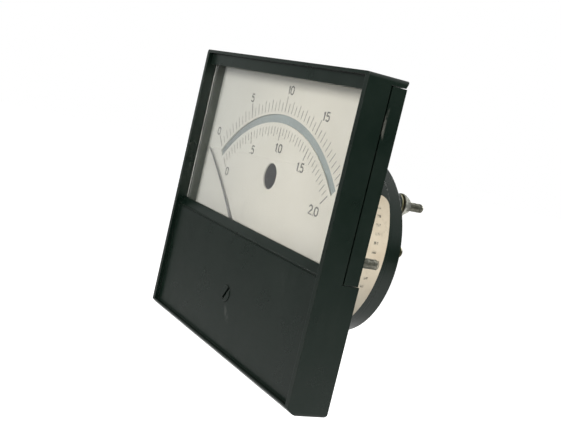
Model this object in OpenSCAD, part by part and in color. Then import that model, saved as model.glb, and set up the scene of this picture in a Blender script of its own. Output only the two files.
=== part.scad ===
// Analog panel meter: moving-coil movement in a rectangular flush cover with a round rear drum.
// Frame: x to the right, z up, the dial faces -y. The origin is on the drum axis, in the plane
// of the panel that the cover's rear edge rests on.

/* [Front cover] */
// Width of the cover
cover_w = 120; // [110:1:150]
// Height of the cover
cover_h = 105.2; // [102:0.2:130]
// Depth of the cover, from the front lip to the panel
cover_depth = 14.6; // [14.6:0.2:20]
// Width of the raised lip round the front, and thickness of the side walls
lip_w = 2; // [1.2:0.1:2.4]
// Width of the lip along the top edge
top_lip = 1.1; // [0.8:0.1:2]
// How far the front panel sits behind the lip
lip_depth = 1.6; // [1:0.1:2]
// Thickness of the front panel
panel_t = 2.2; // [1.6:0.1:2.6]
// Thickness of the top wall
top_wall = 2.3; // [1.6:0.1:3]
// Radius of the corners, seen from the front
corner_r = 1.2; // [0.5:0.1:3]
// Height of the band above the window
top_band = 5.3; // [4:0.1:8]
// Height of the lower panel, from the bottom edge to the groove under the window
lower_h = 42.8; // [40:0.2:46]
// Height of the sloping ledge between the groove and the glass
ledge_h = 3.3; // [2:0.1:5]
// Depth of the curved bevel along the bottom front edge
bevel_y = 5; // [2:0.5:6]
// Height of the curved bevel along the bottom front edge
bevel_z = 2.3; // [1:0.1:2.5]
// Radius of the bottom rear edge
rear_edge_r = 1.5; // [0.5:0.1:2]
// How far the top wall's rear end slopes forward
top_slope = 0.9; // [0:0.1:1.5]
// Width of the groove at the top of the lower panel
groove_w = 0.6; // [0.3:0.1:1]
// Distance from the lip to the side seam, where the case shows
seam_y = 8.4; // [8:0.1:9]
// Width of the seam between the cover and the case's side walls
seam_w = 0.5; // [0.3:0.1:0.8]

/* [Window] */
// Thickness of the glass
glass_t = 1.5; // [1:0.1:1.6]
// How far the glass reaches behind the band above it
glass_lap = 2.4; // [1:0.1:2.5]
// How far the glass reaches behind the ledge below it
glass_tuck = 1.5; // [1:0.1:2]
// Wall of the spacer frame between the glass and the dial
spacer_w = 0.6; // [0.5:0.1:1.5]
// Gap between the back of the glass and the front of the dial
dial_gap = 3.4; // [3:0.1:3.6]

/* [Drum] */
// Radius of the drum
drum_r = 33; // [32:0.5:38]
// Wall of the drum
drum_wall = 2.8; // [2.4:0.1:2.9]
// Length of the drum behind the panel, without its rear cover
drum_len = 27.1; // [26.5:0.1:40]
// Height of the drum axis above the bottom of the cover
drum_up = 46.8; // [46:0.2:50]
// Thickness of the rear cover
rear_t = 4.7; // [4:0.1:7]
// Thickness of the rear cover's end wall
rear_wall = 2.8; // [2:0.1:3.2]
// Thickness of the case's flange
flange_t = 2.5; // [2:0.1:3]
// How far the flange stays in front of the panel
flange_set = 0.5; // [0:0.1:1]

/* [Label] */
// Thickness of the paper label on the drum
label_t = 0.2; // [0.1:0.05:0.3]
// Distance from the label to the rear cover
label_edge = 0.5; // [0.2:0.1:2]
// Width of the label along the drum
label_w = 22; // [15:0.5:24]
// Angle of the label's upper end above the horizontal
label_top = 40; // [20:1:60]
// Angle that the label covers
label_wrap = 180; // [120:5:220]
// Radius of the label's corners
label_corner = 3.5; // [1:0.25:5]
// How far the label is stuck on askew, as an angle
label_skew = 3; // [0:0.5:4]

/* [Dial] */
// Thickness of the dial plate
dial_t = 0.5; // [0.4:0.1:0.8]
// Height of the pointer axis above the bottom of the cover
pivot_up = 26.1; // [26:0.1:27]
// Mean radius of the mirror arc
arc_r = 59.5; // [50:0.5:61]
// Width of the mirror arc
arc_w = 3; // [2:0.25:4]
// Angle of the mirror arc, on each side of the middle
arc_half = 46.5; // [40:0.5:48]
// Thickness of the mirror strip
mirror_t = 0.8; // [0.5:0.1:1]
// Diameter of the hole in the middle of the dial
dial_hole_d = 9.3; // [6:0.1:12]
// Height of that hole above the pointer axis
dial_hole_up = 39.1; // [34:0.1:42]

/* [Scale] */
// Angle of the scale's ends, on each side of the middle
scale_half = 45.5; // [40:0.5:46.5]
// Numbered steps on the scale
scale_steps = 4; // [2:1:5]
// Fine divisions in each numbered step
step_parts = 10; // [4:2:12]
// Length of the numbered marks above the arc
major_len = 5.5; // [4:0.25:6.5]
// Width of the numbered marks
major_w = 0.45; // [0.3:0.05:0.6]
// Width of the fine marks
minor_w = 0.28; // [0.15:0.01:0.35]

/* [Movement] */
// Radius that the pointer's tip reaches
pointer_len = 68; // [60:0.5:69]
// Thickness of the pointer
pointer_t = 0.3; // [0.2:0.05:0.4]
// How far the pointer's middle is bowed to the right
pointer_bow = 1.9; // [0:0.1:2.5]
// Gap between the pointer and the dial
pointer_gap = 0.65; // [0.5:0.05:0.8]
// Angle at which the pointer lies on its left stop
park_angle = 52; // [50:0.5:52.5]
// Angle from the middle of the scale to the right stop
stop_angle = 48; // [46:0.5:50]
// Radius of the magnet in the middle of the coil
core_r = 5; // [4.5:0.1:5.2]
// Length of the magnet
core_len = 14; // [10:0.5:14.5]
// Outer radius of the iron ring
yoke_r = 9; // [8.6:0.1:9.2]
// Inner radius of the iron ring
yoke_in_r = 7.1; // [7:0.05:7.5]
// Turns in each hairspring
spring_turns = 3; // [2:0.5:4]
// Thickness of the hairspring strip
spring_t = 0.12; // [0.1:0.02:0.16]

/* [Zero adjuster] */
// Diameter of the adjuster's slotted head
adjuster_d = 5.8; // [5:0.1:7]
// Distance from the adjuster to the pointer axis
adjuster_drop = 4.5; // [4.5:0.1:6]
// How far the adjuster's pin sits off its axis
pin_offset = 0.8; // [0.4:0.1:1]
// Width of the screwdriver slot
slot_w = 1.1; // [0.6:0.1:1.2]

/* [Studs and fasteners] */
// Distance between the two mounting studs
mount_pitch = 100; // [96:1:102]
// Radius of the mounting studs
mount_r = 1.5; // [1.25:0.25:2]
// Height of the mounting studs above the drum axis
mount_up = 1.4; // [0:0.2:4]
// Length of the mounting studs behind the panel
mount_len = 10.9; // [8:0.1:25]
// Distance between the two terminals
term_pitch = 40; // [38:0.5:41]
// Height of the terminals above the drum axis
term_up = 19; // [17.5:0.1:19.1]
// Radius of the terminal studs
term_r = 1.5; // [1.25:0.25:1.75]
// How far the terminal studs reach behind the rear cover's boss
term_len = 11.5; // [11:0.1:20]
// Width across the flats of the terminal nuts
nut_af = 5.5; // [5:0.5:8]
// Height of the terminal bosses
boss_h = 2.5; // [1:0.25:5]

/* [Hidden] */
$fn = 64;

// Clearances
fit = 0.2;          // between a moulded part and what drops into it
run_fit = 0.05;     // round a turning shaft, on the radius
snug = 0.02;        // round a pressed or threaded shank, on the radius

// Levels along y
front_y = -cover_depth;
face_y = front_y + lip_depth;
panel_back_y = face_y + panel_t;
glass_y = panel_back_y + fit;
glass_back_y = glass_y + glass_t;
dial_y = glass_back_y + dial_gap;
dial_back_y = dial_y + dial_t;
flange_back_y = -flange_set;
flange_y = flange_back_y - flange_t;
case_y = front_y + seam_y;
rear_y = drum_len + rear_t;
boss_y = rear_y + boss_h;

// Heights and half widths
half_w = cover_w / 2;
inner_half = half_w - lip_w;
bottom_z = -drum_up;
top_z = cover_h - drum_up;
window_top_z = top_z - top_band;
groove_z = bottom_z + lower_h;
window_low_z = groove_z + ledge_h;
seam_drop = 0.9;
seam_z = groove_z - seam_drop;
pivot_z = pivot_up - drum_up;
adjuster_z = pivot_z - adjuster_drop;
floor_wall = lip_w;
drum_in_r = drum_r - drum_wall;

top_lip_z = top_z - top_lip;
low_lip = 0.6;
low_lip_z = bottom_z + bevel_z + low_lip;
inner_low_z = bottom_z + floor_wall + bevel_z;
inner_top_z = top_z - top_wall;
boss_r = 3.2;
ledge_step = 0.4;
ledge_drop = 2;

// Glass and spacer
glass_half = inner_half - fit;
frame_lap = 0.4;
frame_half = glass_half - spacer_w;
frame_low_z = window_low_z - glass_tuck + spacer_w;
frame_top_z = window_top_z + frame_lap;
glass_top_z = window_top_z + glass_lap;
glass_low_z = window_low_z - glass_tuck;

// Dial
dial_set = 0.3;
dial_rise = 8.8;
dial_half = glass_half - dial_set;
dial_top_z = glass_top_z - dial_set;
dial_low_z = pivot_z + dial_rise;
rail_gap = 0.5;
dial_hole_z = pivot_z + dial_hole_up;
dial_screw_x = 42;
dial_screw_up = 3.2;
dial_screw_z = dial_low_z + dial_screw_up;
dial_screw_len = 4;
post_r = 3;
post_drop = 4;
post_top_z = dial_top_z - post_drop;
arc_lap = 1;
ink_t = 0.06;
mark_gap = 1;
upper_r = arc_r + arc_w / 2 + mark_gap;
lower_r = arc_r - arc_w / 2 - 1.5 * mark_gap;
lower_share = 0.83;
half_mark = 0.75;
fine_mark = 0.58;

// Movement plate and bridges
plate_t = 1.2;
plate_y = flange_y - plate_t;
plate_half = 27.5;
plate_screw_x = 25;
plate_drop = 9.2;
plate_rise = 8.8;
plate_low_z = pivot_z - plate_drop;
plate_high_z = pivot_z + plate_rise;
bridge_t = 1;
bridge_set = 1.4;
bridge_y = panel_back_y + bridge_set;
bridge_back_y = bridge_y + bridge_t;
bridge_half_h = 2.5;
bridge_leg_in = 10;
bridge_leg_out = 13;
bridge_leg_mid = (bridge_leg_in + bridge_leg_out) / 2;
bridge_boss_r = 1.5;
bridge_boss_h = 0.8;
bridge_boss_y = bridge_back_y + bridge_boss_h;
bridge_screw_r = 0.8;
bridge_head_r = 1.4;
bridge_head_h = 0.8;
jewel_r = 0.9;
jewel_proud = 0.2;
jewel_back_y = bridge_boss_y + jewel_proud;

// Moving element
pointer_y = dial_y - pointer_gap - pointer_t;
hub_t = 0.8;
hub_set = 1.2;
hub_back_y = plate_y - hub_set;
hub_y = hub_back_y - hub_t;
hub_r = 1.3;
arm_r = 8;
cross_r = 6.5;
crank_r = 5;
weight_r = 0.7;
pivot_r = 0.35;
staff_r = 0.8;
air_gap = 0.4;
limb_t = 1.1;
coil_w = 3;
core_set = 2;
spacer_bar_w = 3.6;
core_y = flange_y + core_set;
core_back_y = core_y + core_len;
coil_in_half = core_r + air_gap + 0.1;
coil_out_half = coil_in_half + limb_t;
coil_y = core_y - air_gap - limb_t;
coil_back_y = core_back_y + air_gap + limb_t;
winding_t = 0.5;
pointer_root_w = 1.1;
pointer_tip_w = 0.5;
pointer_tip_len = 1.5;
stop_rod_r = 0.5;
stop_reach = 12;

// Rear bridge, behind the coil
rear_staff_len = 1.4;
rear_bridge_set = 1.6;
rear_bridge_t = 1.2;
rear_spring_y = coil_back_y + rear_staff_len;
rear_bridge_y = rear_spring_y + rear_bridge_set;
rear_bridge_back_y = rear_bridge_y + rear_bridge_t;

// Hairsprings and zero lever
collet_r = 1;
spring_in_r = collet_r + spring_t / 2 + snug / 2;
spring_out_r = 3.6;
spring_w = 0.5;
stud_r = 0.35;
lever_t = 0.45;
lever_y = bridge_back_y + 0.15;
lever_back_y = lever_y + lever_t;
lever_r = 2.8;
front_spring_y = jewel_back_y + 0.1;
front_stud_angle = 200;
rear_stud_angle = 270;

// Zero adjuster
neck_r = 2;
head_depth = 1.2;
head_proud = 0.2;
neck_len = 0.75;
slot_turn = 35;
neck_end_y = panel_back_y + neck_len;
clip_t = 0.4;
pin_r = 0.45;
pin_end_y = lever_back_y + 0.1;

// Fasteners
screw_r = 1.25;
screw_head_r = 2.3;
screw_head_h = 1.3;
cover_screw_x = 48;
cover_screw_up = 11;
cover_screw_z = bottom_z + cover_screw_up;
slot_d = 0.6;           // depth and width of the slots in the small screws
mount_root_step = 0.5;
mount_head_step = 1.3;
mount_root_r = mount_r + mount_root_step;
mount_head_r = mount_r + mount_head_step;
mount_head_t = 1;
tip_len = 0.5;          // bevel at the ends of the studs
tip_in = 0.35;
rear_screw_in = 2.6;
rear_screw_ring = drum_r - rear_screw_in;
rear_screw_angles = [7, 173, 270];
rear_head_h = 2.4;
rear_rim_h = 0.7;
rear_dome = rear_head_h - rear_rim_h;
rear_dome_r = (screw_head_r * screw_head_r + rear_dome * rear_dome) / (2 * rear_dome);
rear_boss_r = 2.8;
rear_boss_len = 7;
term_boss_r = 4;
term_head_r = 2.3;
term_head_t = 1.6;
term_head_y = rear_y - rear_wall - term_head_t;
brass_t = 0.5;
lock_t = 0.9;
washer_t = 1;
nut_t = 2.4;
nut_bevel = 3;          // the nut's outer corners are turned to a cone
nut_face_in = 0.2;
washer_fit = 0.1;       // between the washers and the stud, on the radius
washer_step = 0.1;      // by how much the washers are wider or narrower than the boss
lock_in = 1.1;
lock_split = 0.5;
lock_turn = 35;
stack_y = boss_y + brass_t + lock_t + washer_t;

// Resistor spool inside the drum
spool_z = 9;
spool_rim_t = 1;
spool_in = 0.8;
spool_r = 6.5;
spool_core_r = 3;
spool_len = 12;
spool_end_y = rear_y - rear_wall;
spool_y = spool_end_y - spool_len;
wire_r = 0.5;
wire_bend = 2;
wire_y = 8;
wire_low = 2;

// ---------- shared shapes ----------

// Extrudes an outline drawn in (x, z) from y0 back to y1.
module slab(y0, y1)
    translate([0, y1, 0])
        rotate([90, 0, 0])
            linear_extrude(y1 - y0)
                children();

// A round bar along y.
module rod(x, z, r, y0, y1)
    translate([x, y1, z])
        rotate([90, 0, 0])
            cylinder(h = y1 - y0, r = r);

// A round bar along y whose radius changes from ra at y0 to rb at y1.
module taper(x, z, ra, rb, y0, y1)
    translate([x, y1, z])
        rotate([90, 0, 0])
            cylinder(h = y1 - y0, r1 = rb, r2 = ra);

// A flat ring on an axis along y.
module ring(x, z, r_out, r_in, y0, y1)
    slab(y0, y1)
        translate([x, z])
            difference() {
                circle(r_out);
                circle(r_in);
            }

// A rectangle between two corners.
module span(x0, z0, x1, z1)
    translate([x0, z0])
        square([x1 - x0, z1 - z0]);

// A rectangle with round corners, drawn round its own middle.
module round_rect(w, h, r)
    union() {
        square([w - 2 * r, h], center = true);
        square([w, h - 2 * r], center = true);
        for (sx = [-1, 1], sz = [-1, 1])
            translate([sx * (w / 2 - r), sz * (h / 2 - r)])
                circle(r);
    }

// Turns a shape about the pointer axis; 0 points up and positive is clockwise seen from the front.
module about_pivot(angle)
    translate([0, 0, pivot_z])
        rotate([0, angle, 0])
            children();

// A sector of a ring about the pointer axis, a degrees to each side of straight up.
module arc_band(r_in, r_out, a, y0, y1)
    translate([0, y1, pivot_z])
        rotate([90, 0, 0])
            rotate([0, 0, 90 - a])
                rotate_extrude(angle = 2 * a, $fn = 180)
                    translate([r_in, 0])
                        square([r_out - r_in, y1 - y0]);

// Points of a flat spiral, side = -1 for the inner edge and 1 for the outer.
function spiral_edge(side) = [
    for (i = [0 : spring_turns * 16])
        let (a = i * 22.5, r = spring_in_r + (spring_out_r - spring_in_r) * i / (spring_turns * 16))
            (r + side * spring_t / 2) * [cos(a), sin(a)]
];

function reversed(list) = [for (i = [len(list) - 1 : -1 : 0]) list[i]];

// A flat spiral spring about the pointer axis, with its outer end at the stud's angle.
module hairspring(y0, stud_angle)
    translate([0, 0, pivot_z])
        slab(y0, y0 + spring_w)
            rotate(90 - stud_angle - spring_turns * 360)
                polygon(concat(spiral_edge(1), reversed(spiral_edge(-1))));

// The post that holds a hairspring's outer end.
module spring_stud(stud_angle, y0, y1)
    about_pivot(stud_angle)
        translate([0, 0, spring_out_r + spring_t / 2 + stud_r])
            rod(0, 0, stud_r, y0, y1);

// A cheese-head screw along y with its head at the front.
module front_screw(x, z, head_y, len) {
    difference() {
        rod(x, z, screw_head_r, head_y - screw_head_h, head_y);
        translate([x - screw_head_r, head_y - screw_head_h - 0.1, z - slot_d / 2])
            cube([2 * screw_head_r, slot_d + 0.1, slot_d]);
    }
    rod(x, z, screw_r, head_y - 0.01, head_y + len);
}

// ---------- front cover ----------

// The cover's outline seen from the side, in (y, z): the bevel in front, a rounded edge behind
// it, and the top wall's sloping rear end.
bevel_r = (bevel_y * bevel_y + bevel_z * bevel_z) / (2 * bevel_z);
bevel_a = asin(bevel_y / bevel_r);
function cover_side() = concat(
    [for (i = [0 : 6])
        let (a = i * 15)
            [rear_edge_r * (sin(a) - 1), bottom_z + rear_edge_r * (1 - cos(a))]],
    [[0, inner_top_z - fit], [-top_slope, inner_top_z - fit], [-top_slope, inner_top_z],
     [0, top_z], [front_y, top_z]],
    [for (i = [0 : 8])
        let (a = bevel_a * (1 - i / 8))
            [front_y + bevel_y - bevel_r * sin(a), bottom_z + bevel_r * (1 - cos(a))]]
);

// The sloping ledge and the panel behind it, seen from the side, in (y, z).
function ledge_side() = [
    [face_y, groove_z + groove_w / 2],
    [face_y + ledge_step, groove_z + groove_w],
    [panel_back_y, window_low_z],
    [panel_back_y, groove_z - ledge_drop],
    [face_y, groove_z - ledge_drop]
];

// Extrudes an outline drawn in (y, z) across the width given.
module across(half)
    translate([-half, 0, 0])
        rotate([90, 0, 90])
            linear_extrude(2 * half)
                children();

module cover_shell()
    intersection() {
        translate([0, 0, (top_z + bottom_z) / 2])
            slab(front_y, 0)
                round_rect(cover_w, cover_h, corner_r);
        across(half_w + 1)
            polygon(cover_side());
    }

module front_cover()
    color("#23302b")
        difference() {
            union() {
                difference() {
                    cover_shell();
                    // recess inside the lip
                    slab(front_y - 1, face_y)
                        span(-inner_half, low_lip_z, inner_half, top_lip_z);
                    // room behind the lower panel and the glass
                    slab(panel_back_y, 1)
                        span(-inner_half, inner_low_z, inner_half, inner_top_z);
                    // window, down to the groove
                    slab(face_y - 1, panel_back_y + 1)
                        span(-inner_half, groove_z, inner_half, window_top_z);
                }
                across(inner_half)
                    polygon(ledge_side());
                // bosses for the cover screws
                for (s = [-1, 1])
                    rod(s * cover_screw_x, cover_screw_z, boss_r, panel_back_y - 0.1, flange_y);
            }
            // groove under the ledge
            slab(face_y - 0.1, face_y + 0.5)
                span(-inner_half, groove_z - groove_w / 2, inner_half, groove_z + groove_w / 2);
            // openings in the side walls, where the case shows
            slab(case_y, 1)
                span(-half_w - 1, seam_z, half_w + 1, inner_top_z);
            // bore and seat of the zero adjuster
            rod(0, adjuster_z, neck_r + run_fit, face_y - 1, panel_back_y + 1);
            rod(0, adjuster_z, adjuster_d / 2 + 0.12, face_y - 1, face_y + head_depth);
            for (s = [-1, 1])
                rod(s * cover_screw_x, cover_screw_z, screw_r + snug, panel_back_y + 0.3, flange_y + 1);
        }

module window_glass()
    color("#dfeae6", 0.25)
        slab(glass_y, glass_back_y)
            span(-glass_half, glass_low_z, glass_half, glass_top_z);

// The lower rail is shallow, so the pointer passes behind it.
module glass_spacer()
    color("#8b8d88")
        difference() {
            slab(glass_back_y, dial_y)
                span(-glass_half, glass_low_z, glass_half, glass_top_z);
            slab(glass_back_y - 1, dial_y + 1)
                span(-frame_half, frame_low_z, frame_half, frame_top_z);
            slab(pointer_y - rail_gap, dial_y + 1)
                span(-frame_half, glass_low_z - 1, frame_half, frame_low_z + 1);
        }

// ---------- zero adjuster ----------

module zero_adjuster()
    color("#2b3632") {
        difference() {
            union() {
                rod(0, adjuster_z, adjuster_d / 2, face_y - head_proud, face_y + head_depth - 0.02);
                rod(0, adjuster_z, neck_r, face_y + head_depth - 0.05, neck_end_y);
            }
            translate([0, 0, adjuster_z])
                rotate([0, slot_turn, 0])
                    translate([-slot_w / 2, face_y - head_proud - 0.1, -adjuster_d])
                        cube([slot_w, 1, 2 * adjuster_d]);
        }
        rod(0, adjuster_z + pin_offset, pin_r, neck_end_y - 0.05, pin_end_y);
    }

module adjuster_clip()
    color("#7d7f80")
        ring(0, adjuster_z, neck_r + 1.1, neck_r + snug, panel_back_y + 0.15, panel_back_y + 0.15 + clip_t);

// ---------- case ----------

// Outline of the case's flange: the full width beside the window, inside the cover below it.
module flange_outline() {
    span(-half_w, seam_z + fit, half_w, inner_top_z - fit);
    span(-inner_half + fit, inner_low_z + fit, inner_half - fit, seam_z + 1);
}

module base_housing()
    color("#26332e")
        difference() {
            union() {
                slab(flange_y, flange_back_y)
                    flange_outline();
                // side walls that fill the openings in the cover
                for (s = [-1, 1])
                    slab(case_y + seam_w, flange_y + 0.01)
                        translate([s * (half_w + inner_half + fit) / 2, (seam_z + inner_top_z) / 2])
                            square([lip_w - fit, inner_top_z - seam_z - 2 * fit], center = true);
                // drum
                rod(0, 0, drum_r, flange_back_y - 0.01, drum_len);
                // posts for the dial
                for (s = [-1, 1]) {
                    rod(s * dial_screw_x, dial_screw_z, post_r, dial_back_y, flange_y + 0.01);
                    rod(s * dial_screw_x, post_top_z, post_r, dial_back_y, flange_y + 0.01);
                }
            }
            difference() {
                rod(0, 0, drum_in_r, flange_y - 1, drum_len + 1);
                // bosses for the rear screws
                for (a = rear_screw_angles)
                    rod(rear_screw_ring * cos(a), rear_screw_ring * sin(a), rear_boss_r,
                        drum_len - rear_boss_len, drum_len + 1);
            }
            for (a = rear_screw_angles)
                rod(rear_screw_ring * cos(a), rear_screw_ring * sin(a), screw_r + snug,
                    drum_len - rear_boss_len + 1, drum_len + 1);
            for (s = [-1, 1]) {
                rod(s * dial_screw_x, dial_screw_z, screw_r + snug, dial_back_y - 1, flange_back_y - 0.8);
                rod(s * plate_screw_x, pivot_z, screw_r + snug, flange_y - 1, flange_back_y - 0.5);
                rod(s * mount_pitch / 2, mount_up, mount_root_r + snug, flange_y - 1, 1);
                rod(s * mount_pitch / 2, mount_up, mount_head_r, flange_y - 1, flange_y + mount_head_t);
                rod(s * cover_screw_x, cover_screw_z, screw_r + 0.15, flange_y - 1, 1);
                taper(s * cover_screw_x, cover_screw_z, screw_r + 0.15, screw_head_r + 0.55,
                      flange_back_y - 1.5, flange_back_y + 0.01);
            }
        }

module rear_cover()
    color("#25312d")
        difference() {
            union() {
                rod(0, 0, drum_r, drum_len, rear_y);
                for (s = [-1, 1])
                    rod(s * term_pitch / 2, term_up, term_boss_r, rear_y - 0.01, boss_y);
            }
            difference() {
                rod(0, 0, drum_in_r, drum_len - 1, rear_y - rear_wall);
                for (a = rear_screw_angles)
                    rod(rear_screw_ring * cos(a), rear_screw_ring * sin(a), rear_boss_r,
                        drum_len - 1, rear_y);
            }
            for (a = rear_screw_angles)
                rod(rear_screw_ring * cos(a), rear_screw_ring * sin(a), screw_r + 0.1,
                    drum_len - 1, rear_y + 1);
            for (s = [-1, 1])
                rod(s * term_pitch / 2, term_up, term_r + snug, drum_len, boss_y + 1);
            rod(0, spool_z, screw_r + snug, drum_len, rear_y - 0.6);
        }

// Moves a shape to the label's rear edge at the angle given, out from the drum axis.
module at_label(angle, y)
    rotate([0, -angle, 0])
        translate([drum_r + label_t / 2, y + label_slip(angle), 0])
            rotate([0, 90, 0])
                rotate([0, 0, -label_skew * cos(angle)])
                    children();

// How far the askew edge has moved along the drum at an angle, counted from the label's top.
function label_slip(angle) = drum_r * (sin(angle) - sin(label_top)) * tan(label_skew);

// What is cut away to round a corner; side_a and side_y say which way the label lies.
module label_corner_cut(side_a, side_y)
    difference() {
        translate([side_a * (label_corner - 1) / 2, -side_y * (label_corner - 1) / 2, 0])
            cube([label_corner + 1, label_corner + 1, 3], center = true);
        translate([side_a * label_corner, -side_y * label_corner, 0])
            cylinder(h = 4, r = label_corner, center = true);
    }

module drum_label()
    color("#d9d3c0") {
        y1 = drum_len - label_edge;
        low = label_top - label_wrap;
        difference() {
            translate([0, y1 + label_w, 0])
                rotate([90, 0, 0])
                    rotate([0, 0, low])
                        rotate_extrude(angle = label_wrap, $fn = 120)
                            translate([drum_r + snug / 2, 0])
                                square([label_t, 3 * label_w]);
            for (side = [0, 1])
                translate([0, y1 - side * label_w, drum_r * sin(label_top)])
                    rotate([-label_skew, 0, 0])
                        translate([-2 * drum_r, (side == 0 ? 0 : -4 * drum_r), -4 * drum_r])
                            cube([4 * drum_r, 4 * drum_r, 8 * drum_r]);
            at_label(label_top, y1)
                label_corner_cut(1, 1);
            at_label(label_top, y1 - label_w)
                label_corner_cut(1, -1);
        }
    }

// ---------- dial ----------

module dial_plate()
    color("#cfccc0")
        difference() {
            slab(dial_y, dial_back_y)
                span(-dial_half, dial_low_z, dial_half, dial_top_z);
            rod(0, dial_hole_z, dial_hole_d / 2, dial_y - 1, dial_back_y + 1);
            arc_band(arc_r - arc_w / 2, arc_r + arc_w / 2, arc_half, dial_y - 1, dial_back_y + 1);
            for (s = [-1, 1])
                rod(s * dial_screw_x, dial_screw_z, screw_r + 0.15, dial_y - 1, dial_back_y + 1);
        }

// One printed line of the scale, turned to its angle, from radius r0 to r1.
module mark(angle, r0, r1, w)
    rotate(-angle)
        translate([-w / 2, r0])
            square([w, r1 - r0]);

// Part of the full mark length at division i: numbered, half or fine.
function mark_share(i) = i % step_parts == 0 ? 1 : i % 2 == 0 ? half_mark : fine_mark;

module dial_marks()
    color("#3c3b38")
        slab(dial_y - ink_t, dial_y)
            translate([0, pivot_z])
                for (i = [0 : scale_steps * step_parts]) {
                    a = scale_half * (2 * i / (scale_steps * step_parts) - 1);
                    w = i % step_parts == 0 ? major_w : minor_w;
                    mark(a, upper_r, upper_r + major_len * mark_share(i), w);
                    mark(a, lower_r - major_len * lower_share * mark_share(i), lower_r, w);
                }

module scale_mirror()
    color("#7f9499")
        arc_band(arc_r - arc_w / 2 - arc_lap, arc_r + arc_w / 2 + arc_lap, arc_half + 1,
                 dial_back_y, dial_back_y + mirror_t);

module dial_screws()
    color("#8c8d8a")
        for (s = [-1, 1])
            front_screw(s * dial_screw_x, dial_screw_z, dial_y, dial_screw_len);

// ---------- moving element ----------

// The pointer's middle line and half width at radius r; the bow has died out at both ends.
function pointer_share(r) = (r - crank_r) / (pointer_len - crank_r);
function bow_at(r) = 4 * pointer_bow * pointer_share(r) * (1 - pointer_share(r));
function half_w_at(r) = (pointer_root_w + (pointer_tip_w - pointer_root_w) * pointer_share(r)) / 2;
function pointer_edge(side) = [
    for (i = [0 : 10])
        let (r = crank_r + (pointer_len - pointer_tip_len - crank_r) * i / 10)
            [bow_at(r) + side * half_w_at(r), r]
];

// The pointer's outline: a long, slightly bowed taper from the crank out to the tip.
module pointer_outline()
    polygon(concat(pointer_edge(-1), [[0, pointer_len]], reversed(pointer_edge(1))));

module pointer()
    color("#6d6f6d")
        about_pivot(-park_angle) {
            slab(pointer_y, pointer_y + pointer_t)
                pointer_outline();
            // crank from the hub forward to the dial side
            slab(pointer_y, hub_back_y)
                span(-pointer_root_w / 2, crank_r - 0.4, pointer_root_w / 2, crank_r + 0.4);
            difference() {
                slab(hub_y, hub_back_y)
                    union() {
                        circle(hub_r + 0.9);
                        span(-pointer_root_w / 2, 0, pointer_root_w / 2, crank_r);
                        span(-0.4, -arm_r, 0.4, 0);
                        span(-cross_r, -0.4, cross_r, 0.4);
                    }
                rod(0, 0, staff_r + snug, hub_y - 1, hub_back_y + 1);
            }
        }

module balance_weights()
    color("#8f7d4a")
        about_pivot(-park_angle)
            for (w = [[0, -arm_r], [-cross_r, 0], [cross_r, 0]])
                difference() {
                    rod(w[0] * 0.86, w[1] * 0.86, weight_r + 0.5, hub_y - 0.5, hub_back_y + 0.5);
                    translate([w[0] * 0.86 - 1.5, hub_y - snug, w[1] * 0.86 - (w[0] == 0 ? 1.5 : 0.42)])
                        cube([3, hub_t + 2 * snug, w[0] == 0 ? 3 : 0.84]);
                }

// The coil's frame seen from the front when the pointer is upright, in (x, y).
module coil_loop(extra, y_extra, w)
    translate([0, 0, -w / 2])
        linear_extrude(w)
            difference() {
                translate([-coil_out_half - extra, coil_y - y_extra])
                    square([2 * (coil_out_half + extra), coil_back_y - coil_y + 2 * y_extra]);
                translate([-coil_in_half, core_y - air_gap])
                    square([2 * coil_in_half, core_len + 2 * air_gap]);
            }

module coil_former()
    color("#b9bcbc")
        about_pivot(-park_angle)
            difference() {
                coil_loop(0, 0, coil_w);
                translate([0, 0, -coil_w / 2 + 0.4])
                    linear_extrude(coil_w - 0.8)
                        difference() {
                            translate([-coil_out_half - 1, coil_y - 1])
                                square([2 * (coil_out_half + 1), coil_back_y - coil_y + 2]);
                            translate([-coil_out_half + winding_t, coil_y + winding_t])
                                square([2 * (coil_out_half - winding_t),
                                        coil_back_y - coil_y - 2 * winding_t]);
                        }
            }

module coil_winding()
    color("#a4551f")
        about_pivot(-park_angle)
            translate([0, 0, -coil_w / 2 + 0.4 + snug])
                linear_extrude(coil_w - 0.8 - 2 * snug)
                    difference() {
                        translate([-coil_out_half, coil_y])
                            square([2 * coil_out_half, coil_back_y - coil_y]);
                        translate([-coil_out_half + winding_t - snug, coil_y + winding_t - snug])
                            square([2 * (coil_out_half - winding_t + snug),
                                    coil_back_y - coil_y - 2 * (winding_t - snug)]);
                    }

// A pivot runs from the coil out to its jewel, with a fine point.
module front_pivot()
    color("#a9abad") {
        rod(0, pivot_z, staff_r, hub_y - 0.1, coil_y);
        rod(0, pivot_z, collet_r, front_spring_y - 0.05, hub_y);
        rod(0, pivot_z, pivot_r, jewel_back_y - 0.35, hub_y);
    }

module rear_pivot()
    color("#a9abad") {
        rod(0, pivot_z, staff_r, coil_back_y, rear_spring_y);
        rod(0, pivot_z, collet_r, rear_spring_y - 0.05, rear_spring_y + spring_w + 0.05);
        rod(0, pivot_z, pivot_r, rear_spring_y, rear_bridge_y + 0.25);
    }

// ---------- springs, jewels and bridges ----------

module front_hairspring()
    color("#b08d4c")
        hairspring(front_spring_y, front_stud_angle);

module rear_hairspring()
    color("#b08d4c")
        hairspring(rear_spring_y, rear_stud_angle);

module front_jewel_screw()
    color("#b39a5b")
        difference() {
            rod(0, pivot_z, jewel_r, bridge_y - 1, jewel_back_y);
            rod(0, pivot_z, pivot_r + run_fit, jewel_back_y - 0.4, jewel_back_y + 1);
            translate([-jewel_r, bridge_y - 1.1, pivot_z - 0.15])
                cube([2 * jewel_r, 0.6, 0.3]);
        }

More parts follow.
